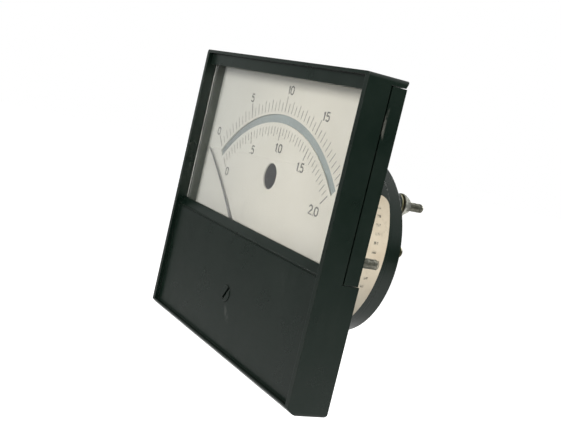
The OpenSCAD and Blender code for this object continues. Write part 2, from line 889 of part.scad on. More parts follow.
module rear_jewel_screw()
    color("#b39a5b")
        difference() {
            rod(0, pivot_z, jewel_r, rear_bridge_y, rear_bridge_back_y + 1);
            rod(0, pivot_z, pivot_r + run_fit, rear_bridge_y - 1, rear_bridge_y + 0.3);
            translate([-jewel_r, rear_bridge_back_y + 0.5, pivot_z - 0.15])
                cube([2 * jewel_r, 0.6, 0.3]);
        }

// A lever that turns on the front bridge's boss; its fork takes the adjuster's pin.
module zero_lever()
    color("#a58a4e") {
        difference() {
            slab(lever_y, lever_back_y)
                translate([0, pivot_z])
                    difference() {
                        union() {
                            circle(lever_r);
                            span(-1.3, -adjuster_drop - 1.6, 1.3, 0);
                            rotate(-front_stud_angle)
                                span(-0.8, 0, 0.8, spring_out_r + 1);
                        }
                        circle(bridge_boss_r + run_fit);
                        span(-pin_r - run_fit, -adjuster_drop - 2, pin_r + run_fit, -adjuster_drop + 1.6);
                    }
        }
        spring_stud(front_stud_angle, lever_back_y - 0.01, front_spring_y + spring_w);
    }

module front_bridge()
    color("#b8a15c")
        difference() {
            union() {
                slab(bridge_y, bridge_back_y)
                    translate([0, pivot_z])
                        square([2 * bridge_leg_out, 2 * bridge_half_h], center = true);
                for (s = [-1, 1])
                    slab(bridge_back_y - 0.01, plate_y)
                        translate([s * bridge_leg_mid, pivot_z])
                            square([bridge_leg_out - bridge_leg_in, 2 * bridge_half_h], center = true);
                rod(0, pivot_z, bridge_boss_r, bridge_back_y - 0.01, bridge_boss_y);
            }
            rod(0, pivot_z, jewel_r + snug, bridge_y - 1, bridge_boss_y + 1);
            for (s = [-1, 1])
                rod(s * bridge_leg_mid, pivot_z, bridge_screw_r + snug, bridge_y - 1, plate_y + 1);
        }

module rear_bridge()
    color("#b8a15c") {
        difference() {
            union() {
                slab(rear_bridge_y, rear_bridge_back_y)
                    translate([0, pivot_z])
                        square([2 * yoke_r, 2 * bridge_half_h], center = true);
                for (s = [-1, 1])
                    slab(core_back_y, rear_bridge_y + 0.01)
                        translate([s * (yoke_r + yoke_in_r + 0.2) / 2, pivot_z])
                            square([yoke_r - yoke_in_r - 0.3, 2 * bridge_half_h], center = true);
            }
            rod(0, pivot_z, jewel_r + snug, rear_bridge_y - 1, rear_bridge_back_y + 1);
        }
        spring_stud(rear_stud_angle, rear_spring_y, rear_bridge_y + 0.01);
    }

module bridge_screws()
    color("#8f9193")
        for (s = [-1, 1]) {
            x = s * bridge_leg_mid;
            rod(x, pivot_z, bridge_screw_r, bridge_y - 0.01, plate_y + plate_t);
            rod(x, pivot_z, bridge_head_r, bridge_y - bridge_head_h, bridge_y);
        }

// Angle from the pointer to the stop on its left (-1) or right (1) when it lies on that stop.
function stop_lead(side) =
    asin((half_w_at(stop_reach) + stop_rod_r + run_fit + side * bow_at(stop_reach)) / stop_reach);

module pointer_stops()
    color("#9a9c9c")
        for (s = [-1, 1])
            about_pivot((s < 0 ? -park_angle : stop_angle) + s * stop_lead(s))
                translate([0, 0, stop_reach])
                    rod(0, 0, stop_rod_r, pointer_y - stop_rod_r, plate_y);

module movement_plate()
    color("#b2b4b2")
        difference() {
            slab(plate_y, flange_y)
                span(-plate_half, plate_low_z, plate_half, plate_high_z);
            rod(0, pivot_z, yoke_in_r, plate_y - 1, flange_y + 1);
            for (s = [-1, 1]) {
                rod(s * plate_screw_x, pivot_z, screw_r + 0.1, plate_y - 1, flange_y + 1);
                rod(s * bridge_leg_mid, pivot_z, bridge_screw_r + snug, plate_y - 1, flange_y + 1);
            }
        }

module plate_screws()
    color("#8c8d8a")
        for (s = [-1, 1])
            front_screw(s * plate_screw_x, pivot_z, plate_y, plate_t + 1.8);

// ---------- magnet system ----------

module core_magnet()
    color("#5c5e60")
        rod(0, pivot_z, core_r, core_y, core_back_y);

module yoke_ring()
    color("#6a6c6d")
        ring(0, pivot_z, yoke_r, yoke_in_r, flange_y, core_back_y);

// Two non-magnetic bars hold the magnet in the middle of the ring.
module core_spacers()
    color("#a9926a")
        for (s = [-1, 1])
            intersection() {
                slab(core_y, core_back_y)
                    translate([0, pivot_z + s * (yoke_in_r + core_r) / 2])
                        square([spacer_bar_w, 2 * (yoke_in_r - core_r)], center = true);
                ring(0, pivot_z, yoke_in_r, core_r, core_y, core_back_y);
            }

// ---------- resistor and wiring ----------

module resistor_bobbin()
    color("#6b4b33")
        difference() {
            union() {
                rod(0, spool_z, spool_core_r, spool_y, spool_end_y);
                rod(0, spool_z, spool_r, spool_y, spool_y + spool_rim_t);
                rod(0, spool_z, spool_r, spool_end_y - spool_rim_t, spool_end_y);
            }
            rod(0, spool_z, screw_r + 0.1, spool_y - 1, spool_end_y + 1);
        }

module resistor_winding()
    color("#8a5a2c")
        ring(0, spool_z, spool_r - spool_in, spool_core_r + snug,
             spool_y + spool_rim_t, spool_end_y - spool_rim_t);

module resistor_screw()
    color("#8c8d8a")
        front_screw(0, spool_z, spool_y, spool_len + rear_wall - 0.8);

// One wire: back from the movement plate, round a bend, up, round a bend, and back to a terminal's head.
module lead_wire(x, y_low, z_low, y_mid, z_high, y_end) {
    b = wire_bend;
    rod(x, z_low, wire_r, y_low, y_mid - b);
    translate([x, y_mid - b, z_low + b])
        rotate([90, 0, 90])
            rotate([0, 0, -90])
                rotate_extrude(angle = 90)
                    translate([b, 0])
                        circle(wire_r);
    translate([x, y_mid, z_low + b])
        cylinder(h = z_high - z_low - 2 * b, r = wire_r);
    translate([x, y_mid + b, z_high - b])
        rotate([90, 0, 90])
            rotate([0, 0, 90])
                rotate_extrude(angle = 90)
                    translate([b, 0])
                        circle(wire_r);
    rod(x, z_high, wire_r, y_mid + b, y_end);
}

module lead_wires()
    color("#8e2f28")
        for (s = [-1, 1])
            lead_wire(s * term_pitch / 2, flange_y, plate_high_z - wire_low, wire_y, term_up, term_head_y);

// ---------- terminals and fasteners ----------

module each_terminal()
    for (s = [-1, 1])
        translate([s * term_pitch / 2, 0, term_up])
            children();

module terminal_studs()
    color("#9d9d98")
        each_terminal() {
            rod(0, 0, term_r, rear_y - rear_wall - 0.01, boss_y + term_len - tip_len);
            taper(0, 0, term_r, term_r - tip_in, boss_y + term_len - tip_len, boss_y + term_len);
            slab(term_head_y, rear_y - rear_wall)
                circle(term_head_r, $fn = 6);
        }

module terminal_brass_washers()
    color("#b9a565")
        each_terminal()
            ring(0, 0, term_boss_r - washer_step, term_r + washer_fit, boss_y, boss_y + brass_t);

// A split spring washer: its ends stand a little apart.
module terminal_lock_washers()
    color("#4a4c4a")
        each_terminal()
            slab(boss_y + brass_t, boss_y + brass_t + lock_t)
                difference() {
                    circle(term_boss_r - lock_in);
                    circle(term_r + washer_fit);
                    rotate(lock_turn)
                        translate([0, -lock_split / 2])
                            square([term_boss_r, lock_split]);
                }

module terminal_washers()
    color("#a9aaa6")
        each_terminal()
            ring(0, 0, term_boss_r + washer_step, term_r + washer_fit, boss_y + brass_t + lock_t, stack_y);

module terminal_nuts()
    color("#b0b1ac")
        each_terminal()
            difference() {
                intersection() {
                    slab(stack_y, stack_y + nut_t)
                        rotate(30)
                            circle(nut_af / sqrt(3), $fn = 6);
                    taper(0, 0, nut_af / 2 + nut_bevel, nut_af / 2 - nut_face_in, stack_y, stack_y + nut_t);
                }
                rod(0, 0, term_r + snug, stack_y - 1, stack_y + nut_t + 1);
            }

module mounting_studs()
    color("#54585a")
        for (s = [-1, 1])
            translate([s * mount_pitch / 2, 0, mount_up]) {
                rod(0, 0, mount_head_r - snug, flange_y, flange_y + mount_head_t);
                rod(0, 0, mount_root_r, flange_y + mount_head_t - 0.01, flange_back_y);
                rod(0, 0, mount_r, flange_back_y - 0.01, mount_len - tip_len);
                taper(0, 0, mount_r, mount_r - tip_in, mount_len - tip_len, mount_len);
            }

module rear_screws()
    color("#b39a4e")
        for (a = rear_screw_angles)
            translate([rear_screw_ring * cos(a), 0, rear_screw_ring * sin(a)]) {
                rod(0, 0, screw_r, drum_len - rear_boss_len + 2, rear_y + 0.01);
                difference() {
                    intersection() {
                        rod(0, 0, screw_head_r, rear_y, rear_y + rear_head_h + 1);
                        translate([0, rear_y + rear_head_h - rear_dome_r, 0])
                            sphere(rear_dome_r);
                    }
                    translate([-screw_head_r - 1, rear_y + rear_head_h - slot_d, -slot_d / 2])
                        cube([2 * screw_head_r + 2, slot_d + 1, slot_d]);
                }
            }

module cover_screws()
    color("#8c8d8a")
        for (s = [-1, 1])
            difference() {
                union() {
                    rod(s * cover_screw_x, cover_screw_z, screw_r, panel_back_y + 1, flange_back_y - 0.05);
                    taper(s * cover_screw_x, cover_screw_z, screw_r, screw_head_r + 0.4,
                          flange_back_y - 1.45, flange_back_y);
                }
                translate([s * cover_screw_x, flange_back_y + 0.5 - slot_d, cover_screw_z])
                    cube([2 * screw_head_r + 2, 1, slot_d], center = true);
            }

front_cover();
window_glass();
glass_spacer();
zero_adjuster();
adjuster_clip();
base_housing();
rear_cover();
drum_label();
dial_plate();
dial_marks();
scale_mirror();
dial_screws();
pointer();
balance_weights();
coil_former();
coil_winding();
front_pivot();
rear_pivot();
front_hairspring();
rear_hairspring();
front_jewel_screw();
rear_jewel_screw();
zero_lever();
front_bridge();
rear_bridge();
bridge_screws();
pointer_stops();
movement_plate();
plate_screws();
core_magnet();
core_spacers();
yoke_ring();
resistor_bobbin();
resistor_winding();
resistor_screw();
lead_wires();
terminal_studs();
terminal_brass_washers();
terminal_lock_washers();
terminal_washers();
terminal_nuts();
mounting_studs();
rear_screws();
cover_screws();
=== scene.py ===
import bpy, bmesh, math
from mathutils import Vector, Matrix


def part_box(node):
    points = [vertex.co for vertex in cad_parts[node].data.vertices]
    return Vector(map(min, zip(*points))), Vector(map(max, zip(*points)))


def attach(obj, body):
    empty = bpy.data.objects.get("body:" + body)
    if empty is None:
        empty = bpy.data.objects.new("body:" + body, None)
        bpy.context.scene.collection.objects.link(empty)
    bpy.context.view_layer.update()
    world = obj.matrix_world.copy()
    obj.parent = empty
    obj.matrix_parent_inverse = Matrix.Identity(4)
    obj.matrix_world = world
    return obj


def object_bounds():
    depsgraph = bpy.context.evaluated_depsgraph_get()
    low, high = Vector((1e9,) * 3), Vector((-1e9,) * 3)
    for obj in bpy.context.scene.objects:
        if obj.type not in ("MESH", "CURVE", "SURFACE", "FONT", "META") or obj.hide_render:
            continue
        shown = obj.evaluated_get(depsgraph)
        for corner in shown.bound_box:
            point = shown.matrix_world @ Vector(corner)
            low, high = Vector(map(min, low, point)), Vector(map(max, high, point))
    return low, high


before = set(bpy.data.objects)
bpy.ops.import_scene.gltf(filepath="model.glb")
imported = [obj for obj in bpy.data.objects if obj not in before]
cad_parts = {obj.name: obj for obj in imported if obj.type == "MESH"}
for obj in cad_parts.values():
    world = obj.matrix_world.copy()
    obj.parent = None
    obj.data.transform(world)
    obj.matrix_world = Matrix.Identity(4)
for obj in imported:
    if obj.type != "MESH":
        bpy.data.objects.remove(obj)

cad_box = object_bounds()
MM = 0.001
scene = bpy.context.scene

# ------------------------------------------------------------------ camera
CAM_AT = Vector((0.29377, -0.162906, 0.041388))
AZIMUTH, ELEVATION, ROLL = 60.713, 6.521, 13.395  # degrees
LENS, SENSOR_WIDTH = 61.0, 36  # millimetres
NEAREST = 0.01


def make_camera():
    """A camera that looks along the azimuth and elevation, then turns by the roll."""
    az, el, roll = (math.radians(v) for v in (AZIMUTH, ELEVATION, ROLL))
    ahead = Vector((-math.sin(az) * math.cos(el), math.cos(az) * math.cos(el), -math.sin(el)))
    level_right = ahead.cross(Vector((0, 0, 1))).normalized()
    level_up = level_right.cross(ahead)
    up = level_up * math.cos(roll) - level_right * math.sin(roll)
    right = ahead.cross(up)
    place = Matrix((right, up, -ahead)).transposed().to_4x4()
    place.translation = CAM_AT
    data = bpy.data.cameras.new("camera")
    data.sensor_width = SENSOR_WIDTH
    data.lens = LENS
    data.clip_start = NEAREST
    cam = bpy.data.objects.new("camera", data)
    scene.collection.objects.link(cam)
    cam.matrix_world = place
    scene.camera = cam


make_camera()

# ------------------------------------------------------------------ node helpers
WHITE = (1, 1, 1)
SOFT_SAMPLES = 4
SHARP_FROM, SHARP_FULL = 0.985, 0.86  # cosines between the true and the softened normal
SURFACE_SOCKETS = {"color": "Base Color", "rough": "Roughness", "metal": "Metallic",
                   "normal": "Normal", "ior": "IOR", "spec": "Specular IOR Level",
                   "trans": "Transmission Weight"}


def rgba(tone):
    """A plain tone with full alpha; a linked value passes through."""
    return tone if isinstance(tone, bpy.types.NodeSocket) else (*tone[:3], 1)


class Nodes:
    """Short calls that build a node tree."""

    def __init__(self, tree):
        self.t = tree

    def add(self, kind, **props):
        n = self.t.nodes.new(kind)
        for k, v in props.items():
            setattr(n, k, v)
        return n

    def link(self, a, b):
        self.t.links.new(a, b)

    def put(self, socket, v):
        if isinstance(v, bpy.types.NodeSocket):
            self.link(v, socket)
        else:
            socket.default_value = v

    def math(self, op, a, b=0.0):
        n = self.add("ShaderNodeMath", operation=op)
        self.put(n.inputs[0], a)
        self.put(n.inputs[1], b)
        return n.outputs[0]

    def times(self, product, *others):
        """The product of two or more values."""
        for v in others:
            product = self.math("MULTIPLY", product, v)
        return product

    def dot(self, a, b):
        n = self.add("ShaderNodeVectorMath", operation="DOT_PRODUCT")
        self.put(n.inputs[0], a)
        self.put(n.inputs[1], b)
        return n.outputs["Value"]

    def length(self, vector):
        n = self.add("ShaderNodeVectorMath", operation="LENGTH")
        self.link(vector, n.inputs[0])
        return n.outputs["Value"]

    def span(self, value, a, b, lo=0.0, hi=1.0, smooth=True):
        """Takes a value's run from a to b onto a run from lo to hi."""
        n = self.add("ShaderNodeMapRange")
        n.interpolation_type = "SMOOTHSTEP" if smooth else "LINEAR"
        for i, v in enumerate((a, b, lo, hi), 1):
            n.inputs[i].default_value = v
        self.link(value, n.inputs[0])
        return n.outputs[0]

    def mix(self, fac, a, b):
        """One tone at 0 and another at 1; a colour mix keeps them in sockets 6 and 7."""
        n = self.add("ShaderNodeMix", data_type="RGBA")
        self.put(n.inputs[0], fac)
        self.put(n.inputs[6], rgba(a))
        self.put(n.inputs[7], rgba(b))
        return n.outputs[2]

    def lay(self, col, mask, share, tone):
        """Lays a tone over a colour where the mask is 1, by no more than a share."""
        return self.mix(self.times(mask, share), col, tone)

    def either_ray(self, rays, first, second):
        return self.math("MAXIMUM", rays[first], rays[second])


class Mat(Nodes):
    """A node material around one Principled shader."""

    def __init__(self, name):
        self.m = bpy.data.materials.new(name)
        self.m.use_nodes = True
        super().__init__(self.m.node_tree)
        self.b = self.t.nodes["Principled BSDF"]
        self.out = self.t.nodes["Material Output"]
        self.co = self.add("ShaderNodeTexCoord").outputs["Object"]

    def noise(self, size_mm, detail=3.0, rough=0.55, stretch=None):
        n = self.add("ShaderNodeTexNoise")
        n.inputs["Scale"].default_value = 1 / (size_mm * MM)
        n.inputs["Detail"].default_value = detail
        n.inputs["Roughness"].default_value = rough
        at = self.co
        if stretch:
            mapping = self.add("ShaderNodeMapping")
            mapping.inputs["Scale"].default_value = stretch
            self.link(at, mapping.inputs["Vector"])
            at = mapping.outputs[0]
        self.link(at, n.inputs["Vector"])
        return n.outputs["Fac"]

    def ramp(self, value, *stops):
        """A run between two tones, each given with its position."""
        r = self.add("ShaderNodeValToRGB")
        for el, (position, tone) in zip(r.color_ramp.elements, stops):
            el.position = position
            el.color = rgba(tone)
        self.link(value, r.inputs[0])
        return r.outputs[0]

    def xyz(self):
        n = self.add("ShaderNodeSeparateXYZ")
        self.link(self.co, n.inputs[0])
        return n.outputs

    def bump(self, height, strength, distance_mm, normal=None):
        n = self.add("ShaderNodeBump")
        n.inputs["Strength"].default_value = strength
        n.inputs["Distance"].default_value = distance_mm * MM
        self.link(height, n.inputs["Height"])
        if normal is not None:
            self.link(normal, n.inputs["Normal"])
        return n.outputs[0]

    def soft_edge(self, radius_mm):
        n = self.add("ShaderNodeBevel", samples=SOFT_SAMPLES)
        n.inputs["Radius"].default_value = radius_mm * MM
        return n.outputs[0]

    def edge_mask(self, radius_mm):
        """1 where the surface turns sharply, 0 where it runs flat."""
        true_normal = self.add("ShaderNodeNewGeometry").outputs["Normal"]
        return self.span(self.dot(true_normal, self.soft_edge(radius_mm)), SHARP_FROM, SHARP_FULL)

    def openness(self, reach_mm):
        """1 in the open, less in a corner or a seam that is within reach."""
        n = self.add("ShaderNodeAmbientOcclusion", samples=SOFT_SAMPLES)
        n.inputs["Distance"].default_value = reach_mm * MM
        return n.outputs["AO"]

    def done(self, **values):
        for k, v in values.items():
            self.put(self.b.inputs[SURFACE_SOCKETS[k]], rgba(v) if k == "color" else v)
        return self.m

    def surface(self, shader):
        self.link(shader, self.out.inputs["Surface"])
        return self.m


# ------------------------------------------------------------------ moulded plastic
BLACK_LO, BLACK_HI = (0.0032, 0.0090, 0.0060), (0.0050, 0.0116, 0.0078)
BLACK_WEAR = (0.030, 0.036, 0.030)
SPECKLED, RUBBED, SHINE, GRAIN_MM = 0.10, 0.08, 0.36, 0.35
DIAGONAL = 0.7071  # cosine of 45 degrees
COVER_FRONT = (-0.0125, -0.0128)  # y where the cover's front face starts and is reached
SIDE_WALL = (0.0594, 0.0598)  # x where the right side wall starts and is reached
SMEAR_AT, SMEAR_SIZE, SMEAR_TONE = (3.6, -31.6), (1.5, 4.2), (0.060, 0.066, 0.060)
CRESCENT_AT, CRESCENT_SIZE, CRESCENT_TONE = (-5.5, 44.6), (0.75, 5.4), (0.10, 0.10, 0.088)
CRESCENT_BEND = 26.0


def moulding(name, dark, light, rough=0.31, wear=BLACK_WEAR, edge=0.25):
    """Satin moulding: faint cloudy colour, fine grain, worn edges and a few rubbed patches."""
    m = Mat(name)
    col = m.ramp(m.noise(28, 4), (0.3, dark), (0.7, light))
    col = m.lay(col, m.span(m.noise(0.9, 2), 0.64, 0.74), SPECKLED, wear)
    worn = m.times(m.edge_mask(0.5), m.span(m.noise(3.0, 3), 0.35, 0.65))
    col = m.lay(col, worn, edge, wear)
    rub = m.span(m.noise(9, 5, 0.65, stretch=(1, 1, 0.35)), 0.60, 0.72)
    col = m.lay(col, rub, RUBBED, wear)
    dull = m.span(m.noise(14, 4), 0.3, 0.7, rough - 0.05, rough + 0.07)
    r = m.math("ADD", dull, m.times(rub, 0.06))
    m.put(m.b.inputs["Specular IOR Level"], SHINE)
    return m, col, r, m.bump(m.noise(GRAIN_MM, 2), 0.18, 0.03, m.soft_edge(0.22))


def oval_mask(m, across, along, half_sizes_mm):
    """1 in the middle of an oval patch, 0 outside it, from the distances to its middle."""
    a, b = (m.times(d, 1 / (half * MM)) for d, half in zip((across, along), half_sizes_mm))
    return m.span(m.math("ADD", m.times(a, a), m.times(b, b)), 1.0, 0.15)


def corner_dust(m, col, reach_mm, closed, patch_mm, patch_from, share, tone):
    """Patchy dust that gathers where the surface is less open than 0.7."""
    patches = m.span(m.noise(patch_mm, 4), patch_from, 0.7)
    return m.lay(col, m.times(m.span(m.openness(reach_mm), 0.7, closed), patches), share, tone)


def cover_material():
    """The front moulding, with a rubbed streak and dust in the corners of its recess."""
    m, col, r, n = moulding("cover_moulding", BLACK_LO, BLACK_HI)
    x, y, z = m.xyz()
    # the streak runs down and to the right from the adjuster
    dx, dz = (m.math("SUBTRACT", a, at * MM) for a, at in zip((x, z), SMEAR_AT))
    along = m.times(m.math("SUBTRACT", dx, dz), DIAGONAL)
    across = m.times(m.math("ADD", dx, dz), DIAGONAL)
    smear = m.times(oval_mask(m, across, along, SMEAR_SIZE), m.span(y, *COVER_FRONT),
                    m.span(m.noise(1.6, 4), 0.35, 0.6))
    col = m.lay(col, smear, 0.5, SMEAR_TONE)
    col = corner_dust(m, col, 1.3, 0.35, 2.2, 0.45, 0.22, (0.06, 0.066, 0.058))
    return m.done(color=col, rough=r, normal=n)


def case_material():
    """The case moulding, with a pale crescent on its side wall and dust in the seam."""
    m, col, r, n = moulding("case_moulding", BLACK_LO, BLACK_HI)
    x, y, z = m.xyz()
    # the crescent stands just behind the seam and bends backwards at both ends
    dy, dz = (m.math("SUBTRACT", a, at * MM) for a, at in zip((y, z), CRESCENT_AT))
    dy = m.math("SUBTRACT", dy, m.times(dz, dz, CRESCENT_BEND))
    patch = m.times(oval_mask(m, dy, dz, CRESCENT_SIZE), m.span(x, *SIDE_WALL),
                    m.span(m.noise(1.6, 5, 0.65), 0.30, 0.55))
    col = m.lay(col, patch, 0.8, CRESCENT_TONE)
    col = corner_dust(m, col, 0.8, 0.4, 1.5, 0.5, 0.25, (0.07, 0.07, 0.055))
    return m.done(color=col, rough=r, normal=n)


def simple_plastic(name, dark, light, rough):
    """A moulding or sleeve of another colour, with paler wear."""
    paler = tuple(min(1, v * 1.8) for v in light)
    m, col, r, n = moulding(name, dark, light, rough, wear=paler, edge=0.2)
    return m.done(color=col, rough=r, normal=n)


# ------------------------------------------------------------------ metals
TURNED = (1, 6, 1)  # turning marks are six times finer along y


def metal(name, dull, bright, rough, tarnish=(0.05, 0.05, 0.035), dirt=0.35):
    """Turned or plated metal: turning marks along y, cloudy colour and tarnished spots."""
    m = Mat(name)
    col = m.ramp(m.noise(2.5, 4), (0.3, dull), (0.7, bright))
    spots = m.span(m.noise(1.1, 4, 0.6), 0.52, 0.66)
    col = m.lay(col, spots, dirt, tarnish)
    marks = m.span(m.noise(0.5, 3, stretch=TURNED), 0.3, 0.7, rough - 0.07, rough + 0.09)
    r = m.math("ADD", marks, m.times(spots, 0.15))
    n = m.bump(m.noise(0.22, 2, stretch=TURNED), 0.2, 0.02, m.soft_edge(0.08))
    return m.done(color=col, rough=r, metal=1.0, normal=n)


def winding_material(name, dark, light):
    """Wire wound turn beside turn, as fine bands along y."""
    m = Mat(name)
    w = m.add("ShaderNodeTexWave", wave_type="BANDS", bands_direction="Y")
    w.inputs["Scale"].default_value = 2600
    w.inputs["Distortion"].default_value = 0.6
    m.link(m.co, w.inputs["Vector"])
    turns = w.outputs["Fac"]
    return m.done(color=m.mix(turns, dark, light), metal=0.6, normal=m.bump(turns, 0.6, 0.05),
                  rough=m.span(m.noise(0.6, 3), 0.3, 0.7, 0.28, 0.4))


# ------------------------------------------------------------------ window, dial and label
def glass_material():
    """A slightly hazed pane that lets shadow and bounced light straight through."""
    m = Mat("window_pane")
    m.done(color=(0.985, 0.985, 0.975), rough=m.span(m.noise(12, 4), 0.4, 0.75, 0.015, 0.05),
           trans=1.0, ior=1.5, normal=m.bump(m.noise(20, 2), 0.05, 0.05))
    rays = m.add("ShaderNodeLightPath").outputs
    clear = m.add("ShaderNodeBsdfTransparent")
    clear.inputs[0].default_value = (0.95, 0.955, 0.945, 1)
    blend = m.add("ShaderNodeMixShader")
    m.link(m.either_ray(rays, "Is Shadow Ray", "Is Diffuse Ray"), blend.inputs[0])
    m.link(m.b.outputs[0], blend.inputs[1])
    m.link(clear.outputs[0], blend.inputs[2])
    return m.surface(blend.outputs[0])


def dial_material():
    """Aged enamel: cloudy, with faint brown spots; painted shade darkens and cools it towards the
    left and a little towards the top, and a painted shadow of the left wall greys its left edge.
    """
    m = Mat("dial_enamel")
    across = m.xyz()
    x, z = across["X"], across["Z"]
    col = m.ramp(m.noise(22, 5, 0.6), (0.30, (0.715, 0.685, 0.605)), (0.72, (0.775, 0.745, 0.670)))
    # painted shade: the level is 0 towards the left and the top, where less light falls, and 1
    # towards the lit right; the enamel is darkened and cooled where it is low
    painted_light_level = m.span(m.math("SUBTRACT", x, m.times(z, 0.2)), -0.060, 0.022)
    col = m.lay(col, m.math("SUBTRACT", 1.0, painted_light_level), 0.8, (0.530, 0.530, 0.494))
    # painted shadow that the left wall casts on the dial's left edge
    col = m.lay(col, m.span(x, -0.048, -0.058), 0.35, (0.50, 0.51, 0.47))
    col = m.lay(col, m.span(m.noise(1.7, 5, 0.7), 0.66, 0.76), 0.14, (0.42, 0.36, 0.26))
    return m.done(color=col, rough=m.span(m.noise(5, 3), 0.3, 0.7, 0.48, 0.62), spec=0.3,
                  normal=m.bump(m.noise(0.4, 3), 0.12, 0.02))


def ink_material(name, ink, fade):
    """Printing ink that has faded unevenly into the paint behind it."""
    m = Mat(name)
    faded = m.span(m.noise(0.8, 4, 0.6), 0.35, 0.7, *fade)
    return m.done(color=m.mix(faded, ink, (0.55, 0.52, 0.45)), spec=0.3,
                  rough=m.span(m.noise(0.5, 2), 0.3, 0.7, 0.45, 0.6),
                  normal=m.bump(m.noise(0.3, 2), 0.15, 0.01))


def mirror_material():
    """A hazed mirror strip, with painted shade that darkens it towards its left end."""
    m = Mat("mirror_strip")
    col = m.ramp(m.noise(9, 4), (0.3, (0.215, 0.255, 0.255)), (0.7, (0.275, 0.315, 0.310)))
    col = m.lay(col, m.span(m.noise(1.8, 5, 0.65), 0.50, 0.70), 0.30, (0.20, 0.23, 0.235))
    # painted shade: the strip darkens towards its left end, like the dial beside it
    col = m.mix(m.span(m.xyz()["X"], 0.0, -0.045, 0.0, 0.6), col, (0.130, 0.148, 0.152))
    return m.done(color=col, metal=0.35, rough=m.span(m.noise(4, 4), 0.3, 0.7, 0.34, 0.48),
                  normal=m.bump(m.noise(6, 2), 0.05, 0.02))


DRUM_RADIUS_MM = 33.0
BAR_ROW_Y, BAR_ROW_SLANT, BAR_HALF_HEIGHT, BAR_STEP = 20.9, 0.052, (1.05, 0.75), 3.1
ROW_START, ROW_END, ROW_GAP_AT, ROW_GAP = (-12.0, -10.5), (19.0, 17.5), -1.2, (2.6, 3.4)
BAR_SHIFT = 60.0  # moves the bars along their row


def ink_bars(m):
    """A row of worn, plain bars along the drum's curve; lengths are in millimetres."""
    x, y, z = m.xyz()
    turn = m.times(m.math("ARCTAN2", z, x), DRUM_RADIUS_MM)
    middle = m.math("ADD", m.times(turn, BAR_ROW_SLANT), BAR_ROW_Y)
    offset = m.math("SUBTRACT", m.times(y, 1 / MM), middle)
    row = m.span(m.math("ABSOLUTE", offset), *BAR_HALF_HEIGHT)
    beat = m.math("FRACT", m.times(m.math("ADD", turn, BAR_SHIFT), 1 / BAR_STEP))
    bar = m.times(m.span(beat, 0.0, 0.10), m.span(beat, 0.42, 0.30))
    ends = m.times(m.span(turn, *ROW_END), m.span(turn, *ROW_START))
    gap = m.span(m.math("ABSOLUTE", m.math("SUBTRACT", turn, ROW_GAP_AT)), *ROW_GAP)
    worn = m.span(m.noise(0.9, 4, 0.65), 0.40, 0.60, 1.0, 0.15)
    return m.times(row, bar, m.times(ends, gap), worn)


def paper_material():
    """A stained paper label, greyer towards its lower end."""
    m = Mat("label_paper")
    col = m.ramp(m.noise(9, 5, 0.6), (0.28, (0.600, 0.510, 0.385)), (0.72, (0.720, 0.650, 0.520)))
    fibre = m.noise(0.35, 4, 0.6, stretch=(1, 0.25, 1))
    col = m.mix(m.span(fibre, 0.5, 0.75, 0.0, 0.14), col, (0.45, 0.37, 0.26))
    col = m.lay(col, m.span(m.xyz()["Z"], 0.006, -0.022), 0.65, (0.33, 0.315, 0.275))
    col = m.lay(col, m.span(m.noise(5, 5, 0.7), 0.56, 0.70), 0.35, (0.36, 0.30, 0.21))
    col = m.lay(col, ink_bars(m), 0.85, (0.07, 0.07, 0.06))
    return m.done(color=col, rough=m.span(m.noise(2, 3), 0.3, 0.7, 0.66, 0.82),
                  normal=m.bump(fibre, 0.35, 0.03), spec=0.2)


# ------------------------------------------------------------------ which piece has which finish
BROWN_TARNISH = (0.06, 0.055, 0.03)
steel = metal("bright_steel", (0.40, 0.40, 0.385), (0.52, 0.515, 0.49), 0.32)
zinc = metal("plated_steel", (0.38, 0.38, 0.335), (0.58, 0.575, 0.52), 0.40, dirt=0.5)
stud_steel = metal("oily_steel", (0.30, 0.298, 0.245), (0.50, 0.49, 0.42), 0.42, dirt=0.5)
dull_brass = metal("dull_brass", (0.060, 0.058, 0.028), (0.115, 0.108, 0.058), 0.45,
                   tarnish=(0.04, 0.037, 0.02), dirt=0.5)
brass = metal("old_brass", (0.26, 0.245, 0.130), (0.42, 0.39, 0.22), 0.42,
              tarnish=BROWN_TARNISH, dirt=0.5)
clean_brass = metal("turned_brass", (0.40, 0.30, 0.13), (0.55, 0.43, 0.22), 0.34,
                    tarnish=(0.13, 0.10, 0.05))
iron = metal("soft_iron", (0.20, 0.20, 0.205), (0.28, 0.28, 0.285), 0.45)
alu = metal("folded_aluminium", (0.55, 0.56, 0.56), (0.66, 0.67, 0.67), 0.35)
bronze = metal("spring_bronze", (0.50, 0.34, 0.16), (0.62, 0.44, 0.22), 0.28)
pointer_mat = metal("pointer_lacquer", (0.10, 0.10, 0.098), (0.15, 0.15, 0.145), 0.50, dirt=0.2)
cover_mat = cover_material()
case_mat = case_material()
tick_ink = ink_material("tick_ink", (0.12, 0.112, 0.108), (0.15, 0.70))
number_ink = ink_material("number_ink", (0.040, 0.042, 0.040), (0.0, 0.30))
